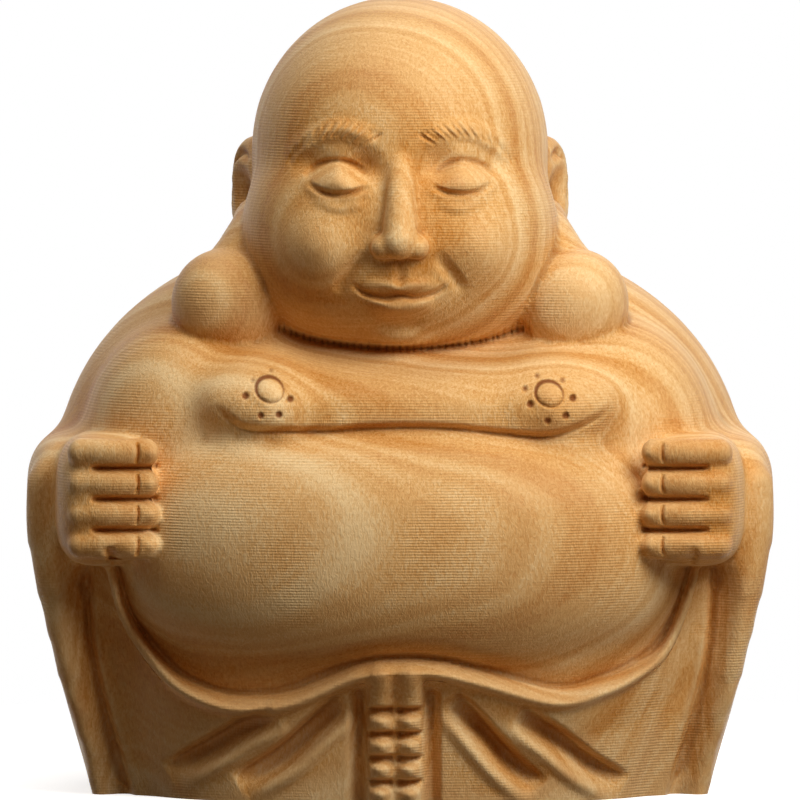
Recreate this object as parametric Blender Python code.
"""A laughing monk figure, carved from one block of boxwood and standing on its flat sawn base.

The carving is one solid. It is roughed out as rounded masses that are pressed into one skin,
then the drapery, the hands and the face are raised and cut on it, as a carver works from large
to small. The figure faces -Y, +Z is up, and the origin is the middle of the flat base.
"""

import math

import bmesh
import bpy
import numpy as np
from mathutils import Euler, Vector
from mathutils.bvhtree import BVHTree

MM = 0.001

# Torso: one broad egg from the base to the shoulders
TORSO_HALF_WIDTH = 34.8 * MM
TORSO_HALF_DEPTH = 18.5 * MM
TORSO_MIDDLE_HEIGHT = 28.6 * MM
TORSO_RISE = 27.4 * MM
TORSO_SET_BACK = 2.0 * MM
TORSO_FULLNESS = 2.3

# Shoulders: broad soft masses that join the arms to the chest and the belly
SHOULDER_HALF_WIDTH = 12.0 * MM
SHOULDER_HALF_DEPTH = 13.0 * MM
SHOULDER_HALF_HEIGHT = 12.6 * MM
SHOULDER_HALF_SPAN = 19.6 * MM
SHOULDER_HEIGHT = 35.6 * MM
SHOULDER_SET_FORWARD = 5.6 * MM

# Belly: the bare dome between the two hands
BELLY_HALF_WIDTH = 31.0 * MM
BELLY_HALF_HEIGHT = 16.5 * MM
BELLY_HEIGHT = 25.0 * MM
BELLY_FRONT = 27.6 * MM
BELLY_HALF_DEPTH = 24.0 * MM
BELLY_FULLNESS = 2.4

# Chest: the sloping shelf below the chin, with a drooping breast at each side
CHEST_CENTRE = 0.9 * MM
CHEST_HALF_WIDTH = 24.0 * MM
CHEST_HALF_THICKNESS = 5.0 * MM
CHEST_HALF_DEPTH = 15.4 * MM
CHEST_HEIGHT = 42.2 * MM
CHEST_SET_FORWARD = 8.0 * MM
CHEST_SLOPE = math.radians(18.0)
CHEST_FULLNESS = 2.3
BREAST_SPACING = 27.4 * MM
BREAST_HEIGHT = 40.4 * MM
BREAST_HALF_WIDTH = 8.4 * MM
BREAST_HALF_HEIGHT = 4.3 * MM
BREAST_HALF_DEPTH = 9.0 * MM
BREAST_FRONT = 23.5 * MM
BREAST_CREASE_DEPTH = 0.8 * MM
BREAST_CREASE_ABOVE = 0.9 * MM
BREAST_CREASE_BELOW = 2.4 * MM
NIPPLE_RADIUS = 1.5 * MM
NIPPLE_PROUD = 0.5 * MM

# Crease under the jaw, as shares of the cheeks' half width and half height
JAW_CREASE_DEPTH = 1.6 * MM
JAW_CREASE_ABOVE = 0.9 * MM
JAW_CREASE_BELOW = 3.0 * MM
JAW_CREASE_ROUTE = ((-0.79, -0.70), (-0.50, -0.81), (0.00, -0.86), (0.50, -0.81), (0.82, -0.69))

# Crease under the chest, as shares of the chest's half width and the breast's half height
CREASE_ROUTE = (
    (-0.81, -0.25),
    (-0.68, -0.80),
    (-0.50, -0.86),
    (-0.34, -0.80),
    (-0.18, -0.64),
    (0.00, -0.59),
    (0.18, -0.64),
    (0.38, -0.86),
    (0.58, -0.98),
    (0.75, -0.64),
    (0.85, -0.25),
)

# Mantle: the robe behind and beside the body, as half widths and depths before and behind
MANTLE_BASE_HALF_WIDTH = 30.9 * MM
MANTLE_BASE_FRONT = 13.0 * MM
MANTLE_BASE_BACK = 19.0 * MM
MANTLE_KNEE_HEIGHT = 13.0 * MM
MANTLE_KNEE_HALF_WIDTH = 34.4 * MM
MANTLE_KNEE_FRONT = 14.0 * MM
MANTLE_KNEE_BACK = 20.5 * MM
MANTLE_ELBOW_HEIGHT = 26.0 * MM
MANTLE_ELBOW_HALF_WIDTH = 36.2 * MM
MANTLE_ELBOW_FRONT = 14.0 * MM
MANTLE_ELBOW_BACK = 21.4 * MM
MANTLE_ARMPIT_HEIGHT = 37.0 * MM
MANTLE_ARMPIT_HALF_WIDTH = 32.4 * MM
MANTLE_ARMPIT_FRONT = 11.0 * MM
MANTLE_ARMPIT_BACK = 20.0 * MM
MANTLE_FRONT_FULLNESS = 4.0
MANTLE_BACK_FULLNESS = 2.6

# Skirt: the robe's front panel, which stands forward of the mantle below the belly
SKIRT_BASE_HALF_WIDTH = 27.0 * MM
SKIRT_BASE_FRONT = 20.6 * MM
SKIRT_KNEE_HALF_WIDTH = 30.4 * MM
SKIRT_KNEE_FRONT = 21.6 * MM
SKIRT_TOP_HALF_WIDTH = 31.2 * MM
SKIRT_TOP_FRONT = 19.5 * MM
SKIRT_FULLNESS = 2.6

# Sleeves: wide and square round the forearms, with a rolled front edge that hangs to the base
SLEEVE_HALF_WIDTH = 5.8 * MM
SLEEVE_HALF_HEIGHT = 6.4 * MM
SLEEVE_HEIGHT = 29.6 * MM
SLEEVE_HALF_SPAN = 31.4 * MM
SLEEVE_FRONT = 14.5 * MM
SLEEVE_BACK = 7.0 * MM
SLEEVE_FULLNESS = 3.2
SLEEVE_EDGE_RADIUS = 2.3 * MM
SLEEVE_EDGE_BASE_RADIUS = 1.6 * MM
SLEEVE_VALLEY_DEPTH = 1.4 * MM
SLEEVE_VALLEY_STEEP_SIDE = 0.8 * MM
SLEEVE_VALLEY_WIDE_SIDE = 3.2 * MM

# Hands: closed fists that hold the robe open
FIST_HALF_SPAN = 28.9 * MM
FIST_HALF_WIDTH = 5.2 * MM
FIST_HALF_HEIGHT = 6.6 * MM
FIST_HEIGHT = 29.7 * MM
FIST_FRONT = 22.8 * MM
FIST_HALF_DEPTH = 9.0 * MM
FIST_FULLNESS = 3.3
FINGER_COUNT = 4
FINGER_PITCH = 2.8 * MM
FINGER_RADIUS = 1.45 * MM
FINGER_LENGTH = 6.2 * MM
FINGER_PROUD = 0.7 * MM
FINGER_GROOVE_REACH = 0.7 * MM
FINGER_GROOVE_DEPTH = 0.8 * MM
JOINT_SHARE = 0.4
JOINT_DEPTH = 0.4 * MM
JOINT_REACH = 0.6 * MM

# Head: the skull's egg and the full lower face
SKULL_HALF_WIDTH = 14.9 * MM
SKULL_HALF_HEIGHT = 15.4 * MM
SKULL_HALF_DEPTH = 16.4 * MM
SKULL_HEIGHT = 63.9 * MM
SKULL_SET_FORWARD = 3.4 * MM
CHEEK_HALF_WIDTH = 15.9 * MM
CHEEK_HALF_HEIGHT = 12.8 * MM
CHEEK_HALF_DEPTH = 14.4 * MM
CHEEK_HEIGHT = 55.4 * MM
CHEEK_SET_FORWARD = 7.0 * MM
CHEEK_FULLNESS = 2.2

# Eyes: halfway down the head and an eye's width apart, with routes as shares of the eye's width
EYE_WIDTH = 6.0 * MM
EYE_BELOW_SKULL = 2.6 * MM
EYEBALL_PROUD = 1.4 * MM
EYEBALL_HALF_HEIGHT = 2.5 * MM
SOCKET_DEPTH = 1.0 * MM
SOCKET_REACH = 2.8 * MM
LID_CUT_DEPTH = 0.6 * MM
LID_CUT_REACH = 0.65 * MM
LOWER_LID_PROUD = 0.3 * MM
LOWER_LID_REACH = 0.9 * MM
EYE_SLIT_ROUTE = ((-0.50, -0.08), (-0.25, -0.17), (0.05, -0.21), (0.30, -0.16), (0.53, -0.02))
LID_CREASE_ROUTE = ((-0.50, 0.10), (-0.20, 0.28), (0.05, 0.33), (0.35, 0.25), (0.58, 0.07))
LOWER_LID_ROUTE = ((-0.42, -0.32), (0.00, -0.42), (0.48, -0.27))
BROW_ROUTE = ((-0.60, 0.68), (-0.32, 0.79), (0.05, 0.85), (0.50, 0.68), (0.85, 0.34))
BROW_PROUD = 0.65 * MM
BROW_REACH = 1.4 * MM

# Nose: a ridge from the brow to the tip, with a wing at each side
NOSE_LENGTH = 7.6 * MM
NOSE_PROUD = 2.9 * MM
NOSE_HALF_WIDTH = 2.9 * MM
NOSE_ROOT_ABOVE_EYE = 1.8 * MM
NOSE_ROOT_SUNK = 1.0 * MM

# Mouth: closed lips that smile a little, with routes as shares of the mouth's half width
MOUTH_BELOW_NOSE = 3.7 * MM
MOUTH_HALF_WIDTH = 4.9 * MM
MUZZLE_PROUD = 0.8 * MM
MUZZLE_HALF_HEIGHT = 4.2 * MM
MOUTH_LINE_ROUTE = (
    (-1.00, 0.27),
    (-0.68, 0.06),
    (-0.30, -0.02),
    (0.00, 0.03),
    (0.30, -0.02),
    (0.68, 0.06),
    (1.00, 0.27),
)
MOUTH_LINE_DEPTH = 0.7 * MM
MOUTH_LINE_REACH = 0.65 * MM
UPPER_LIP_ROUTE = ((-0.78, 0.26), (-0.25, 0.24), (0.00, 0.20), (0.25, 0.24), (0.78, 0.26))
UPPER_LIP_PROUD = 0.5 * MM
UPPER_LIP_REACH = 0.9 * MM
LOWER_LIP_ROUTE = ((-0.70, -0.10), (0.00, -0.25), (0.70, -0.10))
LOWER_LIP_PROUD = 0.7 * MM
LOWER_LIP_REACH = 1.2 * MM
CHIN_DIP_ROUTE = ((-0.50, -0.56), (0.00, -0.62), (0.50, -0.56))
CHIN_DIP_DEPTH = 0.45 * MM
CHIN_BELOW_MOUTH = 4.9 * MM
CHIN_PROUD = 1.0 * MM
CHIN_HALF_WIDTH = 4.4 * MM
CHIN_HALF_HEIGHT = 3.0 * MM
LIP_GROOVE_DEPTH = 0.25 * MM
CHEEK_PROUD = 1.3 * MM
CHEEK_REACH = 5.6 * MM
SMILE_FOLD_DEPTH = 0.5 * MM
SMILE_FOLD_REACH = 1.1 * MM

# Ears: upright shells that run down into heavy lobes on the shoulders
EAR_HEIGHT = 59.6 * MM
EAR_HALF_HEIGHT = 5.6 * MM
EAR_HALF_THICKNESS = 2.2 * MM
EAR_HALF_DEPTH = 4.2 * MM
EAR_SET_BACK = 1.0 * MM
EAR_TURN = math.radians(26.0)
EAR_HOLLOW_DEPTH = 1.5 * MM
EAR_GROOVE_DEPTH = 0.7 * MM
EAR_GROOVE_REACH = 0.8 * MM
LOBE_HALF_WIDTH = 5.8 * MM
LOBE_HALF_HEIGHT = 5.6 * MM
LOBE_HALF_DEPTH = 5.6 * MM
LOBE_HALF_SPAN = 17.2 * MM
LOBE_HEIGHT = 49.2 * MM
LOBE_SET_FORWARD = 9.6 * MM
LOBE_FULLNESS = 2.4
LOBE_NECK_RADIUS = 4.9 * MM

# Hem: the robe's rolled edge under the belly, as shares of the belly's half width and half height
HEM_RADIUS = 1.25 * MM
HEM_END_RADIUS = 0.85 * MM
HEM_CREASE_DEPTH = 0.7 * MM
HEM_CREASE_ABOVE = 2.4 * MM
HEM_SLOPE_PROUD = 0.7 * MM
HEM_SLOPE_REACH = 4.0 * MM
HEM_ROUTE = (
    (-0.93, -0.02),
    (-0.91, -0.14),
    (-0.85, -0.38),
    (-0.72, -0.71),
    (-0.59, -0.87),
    (-0.48, -0.91),
    (-0.34, -0.84),
    (-0.12, -0.71),
    (0.09, -0.69),
    (0.24, -0.75),
    (0.49, -0.88),
    (0.64, -0.83),
    (0.75, -0.74),
    (0.84, -0.60),
    (0.91, -0.28),
    (0.94, -0.02),
)

# Folds: grooves that fan out below the hem, as shares of the skirt's knee half width and height.
# The side toward the hem is steep, and the other side rises slowly to a soft ridge.
FOLD_DEPTH = 1.5 * MM
FOLD_STEEP_SIDE = 1.1 * MM
FOLD_WIDE_SIDE = 2.8 * MM
FOLD_RIDGE_OFFSET = 2.3 * MM
FOLD_RIDGE_PROUD = 0.5 * MM
FOLD_RIDGE_REACH = 1.6 * MM
FOLD_ROUTES = (
    ((-0.41, 0.71), (-0.53, 0.58), (-0.63, 0.43), (-0.77, 0.23)),
    ((-0.18, 0.83), (-0.28, 0.63), (-0.40, 0.37), (-0.54, 0.17)),
    ((0.17, 0.86), (0.27, 0.59), (0.36, 0.35), (0.47, 0.13)),
    ((0.38, 0.73), (0.50, 0.54), (0.62, 0.31), (0.74, 0.14)),
)

# Sash: two knotted cords side by side, hanging from the middle of the hem
SASH_CENTRE = -0.5 * MM
SASH_SPACING = 2.8 * MM
SASH_RADIUS = 1.35 * MM
SASH_GAP_REACH = 1.2 * MM
SASH_GAP_DEPTH = 1.2 * MM
KNOT_COUNT = 4
KNOT_PITCH = 2.4 * MM
KNOT_TOP = 9.5 * MM
KNOT_CUT_DEPTH = 1.1 * MM
KNOT_CUT_ABOVE = 0.4 * MM
KNOT_CUT_BELOW = 1.3 * MM

# How finely the clay is skinned, and how many facets the finished solid keeps
ROUGH_GRAIN = 1.0 * MM
BODY_PASSES = 10
HEAD_PASSES = 14
FINE_GRAIN = 0.42 * MM
FINE_PASSES = 3
FACETS = 11000
BELOW_BASE = 3.0 * MM
SHARP_ANGLE = math.radians(60.0)

# Where a stroke is seen from
FRONT = np.array((0.0, -1.0, 0.0))
RIGHT = np.array((1.0, 0.0, 0.0))


def clear_scene():
    for thing in list(bpy.data.objects):
        bpy.data.objects.remove(thing)


def add_object(name, mesh):
    thing = bpy.data.objects.new(name, mesh)
    bpy.context.scene.collection.objects.link(thing)
    return thing


def lump(name, centre, radii, fullness=2.0, turn=(0.0, 0.0, 0.0)):
    """A rounded mass. Fullness 2 is an ellipsoid, and a higher one fills its box more."""
    shape = bmesh.new()
    bmesh.ops.create_uvsphere(shape, u_segments=48, v_segments=24, radius=1.0)
    spin = Euler(turn).to_matrix()
    for vertex in shape.verts:
        power_sum = sum(abs(value) ** fullness for value in vertex.co)
        surface = vertex.co * power_sum ** (-1.0 / fullness)
        sized = Vector(value * radius for value, radius in zip(surface, radii))
        vertex.co = spin @ sized + Vector(centre)
    mesh = bpy.data.meshes.new(name)
    shape.to_mesh(mesh)
    shape.free()
    return add_object(name, mesh)


def roll(name, points, radii):
    """A roll of clay through the points, with its own radius at each, and a ball on each end."""
    curve = bpy.data.curves.new(name, "CURVE")
    curve.dimensions = "3D"
    curve.bevel_depth = MM
    curve.bevel_resolution = 4
    curve.resolution_u = 8
    curve.use_fill_caps = True
    spline = curve.splines.new("BEZIER")
    spline.bezier_points.add(len(points) - 1)
    for knot, point, radius in zip(spline.bezier_points, points, radii):
        knot.co = point
        knot.radius = radius / MM
        knot.handle_left_type = knot.handle_right_type = "AUTO"
    ends = [
        lump(name + "_end", points[i], (radii[i],) * 3)
        for i in (0, -1)
    ]
    return [add_object(name, curve), *ends]


def oval_ring(height, half_width, front, back, front_fullness, back_fullness, count=72):
    """A level oval ring, with its own depth and fullness in front of and behind the middle."""
    ring = []
    for i in range(count):
        angle = 2.0 * math.pi * i / count
        x, y = math.cos(angle), math.sin(angle)
        depth, fullness = (back, back_fullness) if y > 0 else (front, front_fullness)
        reach = (abs(x) ** fullness + abs(y) ** fullness) ** (-1.0 / fullness)
        ring.append((x * reach * half_width, y * reach * depth, height))
    return ring


def loft(name, rings):
    """A closed skin over rings of points, each with the same count."""
    shape = bmesh.new()
    layers = [[shape.verts.new(point) for point in ring] for ring in rings]
    count = len(rings[0])
    for lower, upper in zip(layers, layers[1:]):
        for i in range(count):
            after = (i + 1) % count
            shape.faces.new((lower[i], lower[after], upper[after], upper[i]))
    shape.faces.new(reversed(layers[0]))
    shape.faces.new(layers[-1])
    bmesh.ops.recalc_face_normals(shape, faces=shape.faces)
    mesh = bpy.data.meshes.new(name)
    shape.to_mesh(mesh)
    shape.free()
    return add_object(name, mesh)


def baked(thing):
    """A mesh of the object as its modifiers leave it."""
    graph = bpy.context.evaluated_depsgraph_get()
    return bpy.data.meshes.new_from_object(thing.evaluated_get(graph))


def press_together(name, pieces, grain, passes):
    """One clay body out of overlapping pieces: a single skin at the grain, smoothed by the passes."""
    shape = bmesh.new()
    for piece in pieces:
        shape.from_mesh(baked(piece))
        bpy.data.objects.remove(piece)
    mesh = bpy.data.meshes.new(name)
    shape.to_mesh(mesh)
    shape.free()
    clay = add_object(name, mesh)
    skin = clay.modifiers.new("skin", "REMESH")
    skin.mode = "VOXEL"
    skin.voxel_size = grain
    soften = clay.modifiers.new("soften", "SMOOTH")
    soften.factor = 0.5
    soften.iterations = passes
    finished = baked(clay)
    clay.modifiers.clear()
    clay.data = finished
    return clay


def front_depth(clay):
    """A function that gives how far forward the clay's front lies at a place in the front view."""
    graph = bpy.context.evaluated_depsgraph_get()
    tree = BVHTree.FromObject(clay, graph)
    camera_side = -200.0 * MM

    def depth(across, up):
        hit = tree.ray_cast(Vector((across, camera_side, up)), Vector((0.0, 1.0, 0.0)))[0]
        return hit.y if hit else 0.0

    return depth


def smooth_route(points, steps=6):
    """The points joined by a Catmull-Rom curve, as an array."""
    points = np.array(points, float)
    padded = np.vstack([2 * points[0] - points[1], points, 2 * points[-1] - points[-2]])
    route = []
    for a, b, c, d in zip(padded, padded[1:], padded[2:], padded[3:]):
        for t in np.linspace(0.0, 1.0, steps, endpoint=False):
            linear = (c - a) * t
            square = (2 * a - 5 * b + 4 * c - d) * t**2
            cube = (3 * b - a - 3 * c + d) * t**3
            route.append(0.5 * (2 * b + linear + square + cube))
    route.append(points[-1])
    return np.array(route)


def place_on_route(flat, route):
    """For each flat point: its signed distance to the route, and how far along it is, from 0 to 1."""
    distance = np.full(len(flat), np.inf)
    side = np.ones(len(flat))
    along = np.zeros(len(flat))
    pieces = len(route) - 1
    for i, (start, end) in enumerate(zip(route, route[1:])):
        run = end - start
        offset = flat - start
        t = np.clip(offset @ run / (run @ run), 0.0, 1.0)
        gap = offset - t[:, None] * run
        reach = np.hypot(gap[:, 0], gap[:, 1])
        nearer = reach < distance
        distance[nearer] = reach[nearer]
        side[nearer] = np.sign(run[0] * offset[nearer, 1] - run[1] * offset[nearer, 0])
        along[nearer] = (i + t[nearer]) / pieces
    return distance * side, along


def soft_step(share):
    """0 to 1 with a level start and end."""
    share = np.clip(share, 0.0, 1.0)
    return share * share * (3.0 - 2.0 * share)


def read_surface(clay, view):
    """The clay's points, their places in the view, and how fully each faces it, from 0 to 1."""
    count = len(clay.data.vertices)
    places = np.empty(count * 3)
    clay.data.vertices.foreach_get("co", places)
    places = places.reshape(-1, 3)
    normals = np.empty(count * 3)
    clay.data.vertices.foreach_get("normal", normals)
    facing = np.clip(4.0 * (normals.reshape(-1, 3) @ view) - 0.2, 0.0, 1.0)
    across = 0 if view[0] == 0.0 else 1
    return places, places[:, [across, 2]], facing


def write_surface(clay, places):
    clay.data.vertices.foreach_set("co", places.ravel())
    clay.data.update()


def stroke(clay, points, height, left, right, taper=0.25, steep=1.0, view=FRONT):
    """Raises or, with a negative height, cuts the clay along a route of (across, up) in the view.

    Left and right are how far the stroke reaches to each side of its route: left is above a route
    that runs toward +X. It fades out over the taper's share of the length at both ends. Steep over
    1 gives a flat middle with steeper sides.
    """
    places, flat, facing = read_surface(clay, view)
    route = smooth_route(points)
    reach = max(left, right)
    near = np.all((flat > route.min(0) - reach) & (flat < route.max(0) + reach), axis=1)
    near &= facing > 0.0
    signed, along = place_on_route(flat[near], route)
    bell = soft_step(steep * (1.0 - np.abs(signed) / np.where(signed > 0, left, right)))
    ends = np.clip(np.minimum(along, 1.0 - along) / taper, 0.0, 1.0)
    ends = ends * (2.0 - ends)
    places[near] += (height * bell * ends * facing[near])[:, None] * view
    write_surface(clay, places)


def dab(clay, centre, height, half_width, half_height, view=FRONT):
    """Raises or, with a negative height, presses in an oval spot of the clay."""
    places, flat, facing = read_surface(clay, view)
    offset = (flat - np.array(centre)) / (half_width, half_height)
    bell = soft_step(1.0 - np.hypot(offset[:, 0], offset[:, 1]))
    write_surface(clay, places + (height * bell * facing)[:, None] * view)


def on_mass(shares, half_width, centre_height, half_height, centre=0.0):
    """Places given as shares of a mass's half width and half height, in the front view."""
    return [(centre + across * half_width, centre_height + up * half_height) for across, up in shares]


def mirrored(points, side):
    return [(side * across, up) for across, up in points]


def body_pieces():
    torso = lump(
        "torso",
        (0.0, TORSO_SET_BACK, TORSO_MIDDLE_HEIGHT),
        (TORSO_HALF_WIDTH, TORSO_HALF_DEPTH, TORSO_RISE),
        TORSO_FULLNESS,
    )
    belly = lump(
        "belly",
        (0.0, BELLY_HALF_DEPTH - BELLY_FRONT, BELLY_HEIGHT),
        (BELLY_HALF_WIDTH, BELLY_HALF_DEPTH, BELLY_HALF_HEIGHT),
        BELLY_FULLNESS,
    )
    chest = lump(
        "chest",
        (CHEST_CENTRE, -CHEST_SET_FORWARD, CHEST_HEIGHT),
        (CHEST_HALF_WIDTH, CHEST_HALF_DEPTH, CHEST_HALF_THICKNESS),
        CHEST_FULLNESS,
        turn=(CHEST_SLOPE, 0.0, 0.0),
    )
    pieces = [torso, belly, chest]
    for side in (-1, 1):
        across = CHEST_CENTRE + side * BREAST_SPACING / 2
        pieces.append(
            lump(
                "breast",
                (across, BREAST_HALF_DEPTH - BREAST_FRONT, BREAST_HEIGHT),
                (BREAST_HALF_WIDTH, BREAST_HALF_DEPTH, BREAST_HALF_HEIGHT),
                turn=(CHEST_SLOPE, 0.0, 0.0),
            )
        )
        pieces.append(
            lump(
                "shoulder",
                (side * SHOULDER_HALF_SPAN, -SHOULDER_SET_FORWARD, SHOULDER_HEIGHT),
                (SHOULDER_HALF_WIDTH, SHOULDER_HALF_DEPTH, SHOULDER_HALF_HEIGHT),
            )
        )
    return pieces


def robe_pieces():
    mantle_levels = (
        (-BELOW_BASE, MANTLE_BASE_HALF_WIDTH, MANTLE_BASE_FRONT, MANTLE_BASE_BACK),
        (0.0, MANTLE_BASE_HALF_WIDTH, MANTLE_BASE_FRONT, MANTLE_BASE_BACK),
        (MANTLE_KNEE_HEIGHT, MANTLE_KNEE_HALF_WIDTH, MANTLE_KNEE_FRONT, MANTLE_KNEE_BACK),
        (MANTLE_ELBOW_HEIGHT, MANTLE_ELBOW_HALF_WIDTH, MANTLE_ELBOW_FRONT, MANTLE_ELBOW_BACK),
        (MANTLE_ARMPIT_HEIGHT, MANTLE_ARMPIT_HALF_WIDTH, MANTLE_ARMPIT_FRONT, MANTLE_ARMPIT_BACK),
    )
    mantle_rings = [
        oval_ring(*level, MANTLE_FRONT_FULLNESS, MANTLE_BACK_FULLNESS)
        for level in smooth_route(mantle_levels, 4)
    ]
    skirt_levels = (
        (-BELOW_BASE, SKIRT_BASE_HALF_WIDTH, SKIRT_BASE_FRONT),
        (0.0, SKIRT_BASE_HALF_WIDTH, SKIRT_BASE_FRONT),
        (MANTLE_KNEE_HEIGHT, SKIRT_KNEE_HALF_WIDTH, SKIRT_KNEE_FRONT),
        (BELLY_HEIGHT, SKIRT_TOP_HALF_WIDTH, SKIRT_TOP_FRONT),
    )
    skirt_rings = [
        oval_ring(*level, MANTLE_BASE_FRONT, SKIRT_FULLNESS, SKIRT_FULLNESS)
        for level in smooth_route(skirt_levels, 4)
    ]
    pieces = [loft("mantle", mantle_rings), loft("skirt", skirt_rings)]
    for side in (-1, 1):
        pieces.append(sleeve(side))
        pieces += sleeve_edge(side)
    return pieces


def sleeve(side):
    """The wide square end of a sleeve, round the forearm."""
    return lump(
        "sleeve",
        (side * SLEEVE_HALF_SPAN, (SLEEVE_BACK - SLEEVE_FRONT) / 2, SLEEVE_HEIGHT),
        (SLEEVE_HALF_WIDTH, (SLEEVE_BACK + SLEEVE_FRONT) / 2, SLEEVE_HALF_HEIGHT),
        SLEEVE_FULLNESS,
    )


def sleeve_edge(side):
    """The sleeve's rolled front edge, from the top of the cuff down to the base."""
    cuff = side * (SLEEVE_HALF_SPAN + SLEEVE_HALF_WIDTH - SLEEVE_EDGE_RADIUS)
    knee = side * (MANTLE_KNEE_HALF_WIDTH - SLEEVE_EDGE_RADIUS)
    base = side * (MANTLE_BASE_HALF_WIDTH - SLEEVE_EDGE_BASE_RADIUS)
    cuff_front = SLEEVE_EDGE_RADIUS - SLEEVE_FRONT
    knee_front = 1.3 * SLEEVE_EDGE_RADIUS - MANTLE_KNEE_FRONT
    base_front = 1.8 * SLEEVE_EDGE_RADIUS - MANTLE_BASE_FRONT
    points = [
        (cuff, cuff_front, SLEEVE_HEIGHT + SLEEVE_HALF_HEIGHT - 2.0 * SLEEVE_EDGE_RADIUS),
        (cuff, cuff_front, SLEEVE_HEIGHT - 0.5 * SLEEVE_HALF_HEIGHT),
        (knee, knee_front, MANTLE_KNEE_HEIGHT),
        (base, base_front, 0.0),
        (base, base_front, -BELOW_BASE),
    ]
    radii = [SLEEVE_EDGE_RADIUS] * 3 + [SLEEVE_EDGE_BASE_RADIUS] * 2
    return roll("sleeve_edge", points, radii)


def head_pieces():
    skull = lump(
        "skull",
        (0.0, -SKULL_SET_FORWARD, SKULL_HEIGHT),
        (SKULL_HALF_WIDTH, SKULL_HALF_DEPTH, SKULL_HALF_HEIGHT),
    )
    cheeks = lump(
        "cheeks",
        (0.0, -CHEEK_SET_FORWARD, CHEEK_HEIGHT),
        (CHEEK_HALF_WIDTH, CHEEK_HALF_DEPTH, CHEEK_HALF_HEIGHT),
        CHEEK_FULLNESS,
    )
    return [skull, cheeks]


def eye_level():
    return SKULL_HEIGHT - EYE_BELOW_SKULL


def nose_base():
    return eye_level() - NOSE_LENGTH


def mouth_level():
    return nose_base() - MOUTH_BELOW_NOSE


def nose_pieces(depth):
    """The nose's ridge, its tip and its two wings, seated on the face."""
    root = eye_level() + NOSE_ROOT_ABOVE_EYE
    tip = nose_base() + 0.62 * NOSE_HALF_WIDTH
    middle = 0.5 * (root + tip)
    points = [
        (0.0, depth(0.0, root) + NOSE_ROOT_SUNK, root),
        (0.0, depth(0.0, middle) - 0.1 * NOSE_PROUD, middle),
        (0.0, depth(0.0, tip) - NOSE_PROUD + 0.62 * NOSE_HALF_WIDTH, tip),
    ]
    radii = [0.50 * NOSE_HALF_WIDTH, 0.50 * NOSE_HALF_WIDTH, 0.62 * NOSE_HALF_WIDTH]
    pieces = roll("nose", points, radii)
    wing = 0.42 * NOSE_HALF_WIDTH
    for side in (-1, 1):
        across = side * (NOSE_HALF_WIDTH - wing)
        centre = (across, depth(across, nose_base()) - 0.2 * NOSE_PROUD, nose_base() + wing)
        pieces.append(lump("nose_wing", centre, (wing, 1.3 * wing, wing)))
    return pieces


def ear_pieces(side):
    """The ear's shell, half sunk in the skull, its heavy lobe, and the neck between them."""
    across = side * (SKULL_HALF_WIDTH - 0.35 * EAR_HALF_THICKNESS)
    shell = lump(
        "ear",
        (across, EAR_SET_BACK, EAR_HEIGHT),
        (EAR_HALF_THICKNESS, EAR_HALF_DEPTH, EAR_HALF_HEIGHT),
        2.4,
        turn=(0.0, 0.0, -side * EAR_TURN),
    )
    lobe_centre = (side * LOBE_HALF_SPAN, -LOBE_SET_FORWARD, LOBE_HEIGHT)
    lobe = lump(
        "lobe",
        lobe_centre,
        (LOBE_HALF_WIDTH, LOBE_HALF_DEPTH, LOBE_HALF_HEIGHT),
        LOBE_FULLNESS,
    )
    neck = [
        (across, EAR_SET_BACK, EAR_HEIGHT - 0.3 * EAR_HALF_HEIGHT),
        (
            side * (LOBE_HALF_SPAN - 0.3 * LOBE_HALF_WIDTH),
            -0.6 * LOBE_SET_FORWARD,
            LOBE_HEIGHT + 0.9 * LOBE_HALF_HEIGHT,
        ),
        lobe_centre,
    ]
    radii = [EAR_HALF_THICKNESS, LOBE_NECK_RADIUS, 0.85 * LOBE_HALF_HEIGHT]
    return [shell, lobe, *roll("lobe_neck", neck, radii)]


def finger_tips():
    """How far from the middle the fingers' tips end."""
    return FIST_HALF_SPAN - FIST_HALF_WIDTH


def finger_height(i):
    return FIST_HEIGHT + (i - (FINGER_COUNT - 1) / 2) * FINGER_PITCH


def hand_pieces(side):
    """A closed fist, with four fingers across its front that sink into the back of the hand."""
    back = FIST_FRONT - FINGER_PROUD
    fist = lump(
        "fist",
        (side * FIST_HALF_SPAN, FIST_HALF_DEPTH - back, FIST_HEIGHT),
        (FIST_HALF_WIDTH, FIST_HALF_DEPTH, FIST_HALF_HEIGHT),
        FIST_FULLNESS,
    )
    pieces = [fist]
    for i in range(FINGER_COUNT):
        front = FINGER_RADIUS - FIST_FRONT
        tip = finger_tips() + FINGER_RADIUS
        points = [
            (side * tip, front + 0.3 * FINGER_RADIUS, finger_height(i)),
            (side * (tip + 0.5 * FINGER_LENGTH), front, finger_height(i)),
            (side * (tip + FINGER_LENGTH), front + FINGER_PROUD, finger_height(i)),
        ]
        pieces += roll("finger", points, [FINGER_RADIUS] * 3)
    return pieces


def hem_route():
    return on_mass(HEM_ROUTE, BELLY_HALF_WIDTH, BELLY_HEIGHT, BELLY_HALF_HEIGHT)


def hem_pieces(depth):
    """The rolled edge that runs under the belly from hand to hand, thinner toward its ends."""
    route = smooth_route(hem_route(), 3)
    points = [(x, depth(x, z) - 0.15 * HEM_RADIUS, z) for x, z in route]
    outward = np.abs(route[:, 0]) / BELLY_HALF_WIDTH
    radii = np.interp(outward, (0.5, 0.9), (HEM_RADIUS, HEM_END_RADIUS))
    return roll("hem", points, list(radii))


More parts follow.
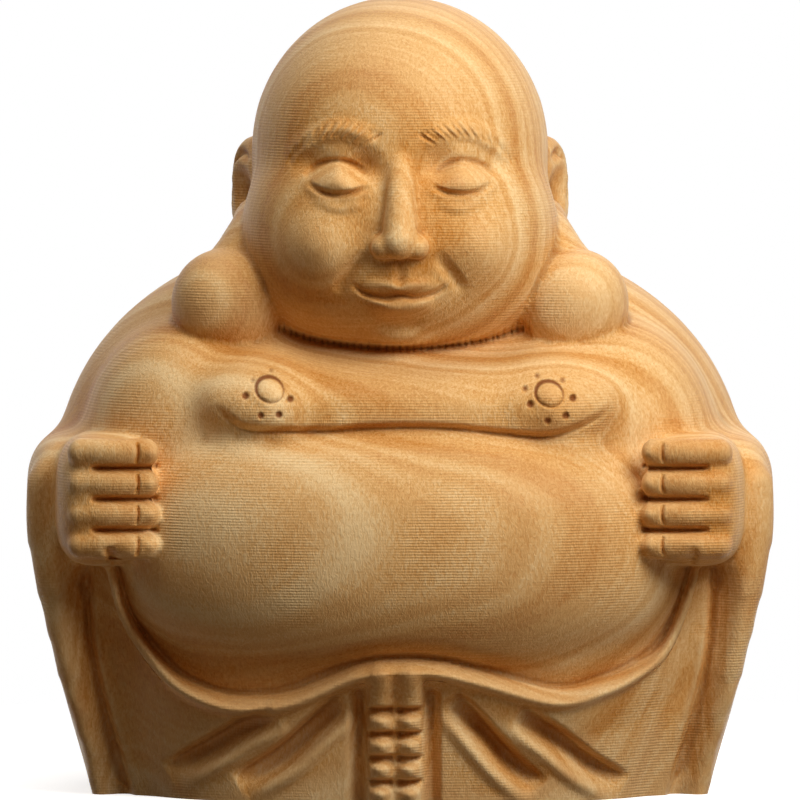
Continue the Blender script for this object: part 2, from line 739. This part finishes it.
def sash_pieces(depth):
    pieces = []
    top = BELLY_HEIGHT - 0.7 * BELLY_HALF_HEIGHT
    for side in (-1, 1):
        across = SASH_CENTRE + side * SASH_SPACING / 2
        points = [
            (across, depth(across, max(up, 0.0)) - 0.2 * SASH_RADIUS, up)
            for up in np.linspace(top, -BELOW_BASE, 7)
        ]
        pieces += roll("sash", points, [SASH_RADIUS] * len(points))
    return pieces


def carve_hem(clay):
    """The crease over the hem, and the skirt's slow rise toward it from below."""
    above = [(across, up + 1.1 * HEM_RADIUS) for across, up in hem_route()]
    stroke(clay, above, -HEM_CREASE_DEPTH, HEM_CREASE_ABOVE, 0.7 * HEM_RADIUS, 0.08)
    below = [(across, up - 0.8 * HEM_RADIUS) for across, up in hem_route()]
    stroke(clay, below, HEM_SLOPE_PROUD, 0.5 * HEM_RADIUS, HEM_SLOPE_REACH, 0.08)


def carve_folds(clay):
    for shares in FOLD_ROUTES:
        route = on_mass(shares, SKIRT_KNEE_HALF_WIDTH, 0.0, MANTLE_KNEE_HEIGHT)
        outward = 1.0 if route[0][0] > 0 else -1.0
        upper, lower = FOLD_STEEP_SIDE, FOLD_WIDE_SIDE
        left, right = (upper, lower) if outward > 0 else (lower, upper)
        stroke(clay, route, -FOLD_DEPTH, left, right, 0.35)
        shift = FOLD_RIDGE_OFFSET / math.sqrt(2.0)
        ridge = [(across - outward * shift, up - shift) for across, up in route]
        stroke(clay, ridge, FOLD_RIDGE_PROUD, FOLD_RIDGE_REACH, FOLD_RIDGE_REACH, 0.35)


def carve_sash(clay):
    """The gaps beside the sash, and the cut under each knot of its two cords."""
    top = BELLY_HEIGHT - 0.8 * BELLY_HALF_HEIGHT
    for side in (-1, 1):
        across = SASH_CENTRE + side * (SASH_SPACING / 2 + SASH_RADIUS + 0.7 * SASH_GAP_REACH)
        gap = [(across, top), (across, 0.5 * top), (across, -BELOW_BASE)]
        stroke(clay, gap, -SASH_GAP_DEPTH, SASH_GAP_REACH, SASH_GAP_REACH, 0.15)
        cord = SASH_CENTRE + side * SASH_SPACING / 2
        for i in range(KNOT_COUNT):
            up = KNOT_TOP - i * KNOT_PITCH
            cut = [(cord - 1.1 * SASH_RADIUS, up), (cord + 1.1 * SASH_RADIUS, up)]
            stroke(clay, cut, -KNOT_CUT_DEPTH, KNOT_CUT_ABOVE, KNOT_CUT_BELOW, 0.3)


def carve_sleeves(clay):
    """The valley between each sleeve's rolled edge and the skirt, from the fist to the base."""
    for side in (-1, 1):
        valley = [
            (side * SKIRT_TOP_HALF_WIDTH, FIST_HEIGHT - FIST_HALF_HEIGHT),
            (side * SKIRT_KNEE_HALF_WIDTH, MANTLE_KNEE_HEIGHT),
            (side * SKIRT_BASE_HALF_WIDTH, 0.0),
            (side * SKIRT_BASE_HALF_WIDTH, -BELOW_BASE),
        ]
        inner, outer = SLEEVE_VALLEY_STEEP_SIDE, SLEEVE_VALLEY_WIDE_SIDE
        left, right = (inner, outer) if side < 0 else (outer, inner)
        stroke(clay, valley, -SLEEVE_VALLEY_DEPTH, left, right, 0.1)


def carve_chest(clay):
    """The creases under the jaw and under the breasts, and the nipples."""
    jaw = on_mass(JAW_CREASE_ROUTE, CHEEK_HALF_WIDTH, CHEEK_HEIGHT, CHEEK_HALF_HEIGHT)
    stroke(clay, jaw, -JAW_CREASE_DEPTH, JAW_CREASE_ABOVE, JAW_CREASE_BELOW, 0.25)
    crease = on_mass(CREASE_ROUTE, CHEST_HALF_WIDTH, BREAST_HEIGHT, BREAST_HALF_HEIGHT, CHEST_CENTRE)
    stroke(clay, crease, -BREAST_CREASE_DEPTH, BREAST_CREASE_ABOVE, BREAST_CREASE_BELOW, 0.25)
    for side in (-1, 1):
        centre = (CHEST_CENTRE + side * BREAST_SPACING / 2, BREAST_HEIGHT)
        dab(clay, centre, NIPPLE_PROUD, 1.4 * NIPPLE_RADIUS, 1.4 * NIPPLE_RADIUS)


def carve_hand(clay, side):
    """Grooves between the fingers, and a nick at each finger's joint."""
    for i in range(FINGER_COUNT - 1):
        up = finger_height(i) + FINGER_PITCH / 2
        groove = [(finger_tips() + share * FINGER_LENGTH, up) for share in (0.0, 0.5, 1.1)]
        reach = FINGER_GROOVE_REACH
        stroke(clay, mirrored(groove, side), -FINGER_GROOVE_DEPTH, reach, reach, 0.2)
    for i in range(FINGER_COUNT):
        joint = (side * (finger_tips() + JOINT_SHARE * FINGER_LENGTH), finger_height(i))
        dab(clay, joint, -JOINT_DEPTH, JOINT_REACH, 0.5 * FINGER_PITCH)


def carve_ear(clay, side):
    """The ear's hollow and the groove inside its rim, seen from the side."""
    view = side * RIGHT
    middle = (EAR_SET_BACK - 0.2 * EAR_HALF_DEPTH, EAR_HEIGHT)
    dab(clay, middle, -EAR_HOLLOW_DEPTH, 0.62 * EAR_HALF_DEPTH, 0.6 * EAR_HALF_HEIGHT, view)
    groove = [
        (EAR_SET_BACK - 0.55 * EAR_HALF_DEPTH, EAR_HEIGHT + 0.55 * EAR_HALF_HEIGHT),
        (EAR_SET_BACK + 0.1 * EAR_HALF_DEPTH, EAR_HEIGHT + 0.68 * EAR_HALF_HEIGHT),
        (EAR_SET_BACK + 0.5 * EAR_HALF_DEPTH, EAR_HEIGHT + 0.2 * EAR_HALF_HEIGHT),
        (EAR_SET_BACK + 0.3 * EAR_HALF_DEPTH, EAR_HEIGHT - 0.5 * EAR_HALF_HEIGHT),
    ]
    reach = EAR_GROOVE_REACH
    stroke(clay, groove, -EAR_GROOVE_DEPTH, reach, reach, 0.3, view=view)


def carve_eye(clay, side):
    """A lowered lid over a narrow slit, in a shallow socket under an arched brow."""

    def around(shares):
        return mirrored(on_mass(shares, EYE_WIDTH, eye_level(), EYE_WIDTH, EYE_WIDTH), side)

    inner, middle, outer = around(((-0.38, 0.23), (0.0, 0.0), (0.43, 0.25)))
    dab(clay, inner, -SOCKET_DEPTH, SOCKET_REACH, SOCKET_REACH)
    dab(clay, outer, -0.5 * SOCKET_DEPTH, SOCKET_REACH, 0.8 * SOCKET_REACH)
    dab(clay, middle, EYEBALL_PROUD, 0.72 * EYE_WIDTH, EYEBALL_HALF_HEIGHT)
    stroke(clay, around(EYE_SLIT_ROUTE), -LID_CUT_DEPTH, LID_CUT_REACH, LID_CUT_REACH, 0.3)
    stroke(clay, around(LID_CREASE_ROUTE), -LID_CUT_DEPTH, LID_CUT_REACH, LID_CUT_REACH, 0.3)
    stroke(clay, around(LOWER_LID_ROUTE), LOWER_LID_PROUD, LOWER_LID_REACH, LOWER_LID_REACH, 0.4)
    stroke(clay, around(BROW_ROUTE), BROW_PROUD, BROW_REACH, BROW_REACH, 0.3)


def carve_cheek(clay, side):
    """A full cheek, and the soft fold between it and the mouth."""
    apple = (side * 1.4 * EYE_WIDTH, nose_base() + 0.15 * CHEEK_REACH)
    dab(clay, apple, CHEEK_PROUD, CHEEK_REACH, CHEEK_REACH)
    fold = [
        (NOSE_HALF_WIDTH + 0.5 * SMILE_FOLD_REACH, nose_base() + 0.2 * MOUTH_BELOW_NOSE),
        (MOUTH_HALF_WIDTH + 0.2 * SMILE_FOLD_REACH, nose_base() - 0.4 * MOUTH_BELOW_NOSE),
        (MOUTH_HALF_WIDTH + 1.4 * SMILE_FOLD_REACH, mouth_level() + 0.1 * MOUTH_BELOW_NOSE),
    ]
    reach = SMILE_FOLD_REACH
    stroke(clay, mirrored(fold, side), -SMILE_FOLD_DEPTH, reach, reach, 0.4)


def carve_mouth(clay):
    """Closed lips whose corners lift a little, and the chin below them."""
    half, level = MOUTH_HALF_WIDTH, mouth_level()

    def around(shares):
        return on_mass(shares, half, level, half)

    dab(clay, (0.0, level), MUZZLE_PROUD, 1.35 * half, MUZZLE_HALF_HEIGHT)
    groove = [(0.0, nose_base()), (0.0, level + UPPER_LIP_REACH)]
    stroke(clay, groove, -LIP_GROOVE_DEPTH, UPPER_LIP_REACH, UPPER_LIP_REACH, 0.3)
    stroke(clay, around(UPPER_LIP_ROUTE), UPPER_LIP_PROUD, UPPER_LIP_REACH, UPPER_LIP_REACH, 0.4)
    stroke(clay, around(LOWER_LIP_ROUTE), LOWER_LIP_PROUD, LOWER_LIP_REACH, LOWER_LIP_REACH, 0.4)
    stroke(clay, around(MOUTH_LINE_ROUTE), -MOUTH_LINE_DEPTH, MOUTH_LINE_REACH, MOUTH_LINE_REACH, 0.25)
    stroke(clay, around(CHIN_DIP_ROUTE), -CHIN_DIP_DEPTH, LOWER_LIP_REACH, LOWER_LIP_REACH, 0.4)
    dab(clay, (0.0, level - CHIN_BELOW_MOUTH), CHIN_PROUD, CHIN_HALF_WIDTH, CHIN_HALF_HEIGHT)


def flat_base(clay):
    """Saws the clay off at the base plane and closes the cut."""
    shape = bmesh.new()
    shape.from_mesh(clay.data)
    everything = [*shape.verts, *shape.edges, *shape.faces]
    cut = bmesh.ops.bisect_plane(
        shape,
        geom=everything,
        dist=1e-7,
        plane_co=(0.0, 0.0, 0.0),
        plane_no=(0.0, 0.0, 1.0),
        clear_inner=True,
    )
    rim = [part for part in cut["geom_cut"] if isinstance(part, bmesh.types.BMEdge)]
    bmesh.ops.contextual_create(shape, geom=rim)
    bmesh.ops.triangulate(shape, faces=shape.faces)
    shape.to_mesh(clay.data)
    shape.free()


def thin_out(clay, facets):
    """Keeps the facets where the form turns fastest."""
    fewer = clay.modifiers.new("fewer", "DECIMATE")
    fewer.ratio = facets / (2.0 * len(clay.data.polygons))
    fewer.use_collapse_triangulate = True
    clay.data = baked(clay)
    clay.modifiers.clear()


def boxwood():
    material = bpy.data.materials.new("boxwood")
    material.use_nodes = True
    shader = material.node_tree.nodes["Principled BSDF"]
    shader.inputs["Base Color"].default_value = (0.62, 0.36, 0.13, 1.0)
    shader.inputs["Roughness"].default_value = 0.45
    shader.inputs["Metallic"].default_value = 0.0
    return material


def build():
    clear_scene()
    body = press_together("body", body_pieces() + robe_pieces(), ROUGH_GRAIN, BODY_PASSES)
    head = press_together("head", head_pieces(), ROUGH_GRAIN, HEAD_PASSES)
    depth = front_depth(body)
    pieces = [body, *hem_pieces(depth), *sash_pieces(depth), *nose_pieces(front_depth(head)), head]
    for side in (-1, 1):
        pieces += ear_pieces(side)
        pieces += hand_pieces(side)
    figure = press_together("carved_figure", pieces, FINE_GRAIN, FINE_PASSES)
    carve_hem(figure)
    carve_folds(figure)
    carve_sash(figure)
    carve_sleeves(figure)
    carve_chest(figure)
    for side in (-1, 1):
        carve_hand(figure, side)
        carve_ear(figure, side)
        carve_eye(figure, side)
        carve_cheek(figure, side)
    carve_mouth(figure)
    thin_out(figure, FACETS)
    flat_base(figure)
    figure.data.materials.append(boxwood())
    figure.data.shade_smooth()
    figure.data.set_sharp_from_angle(angle=SHARP_ANGLE)


build()
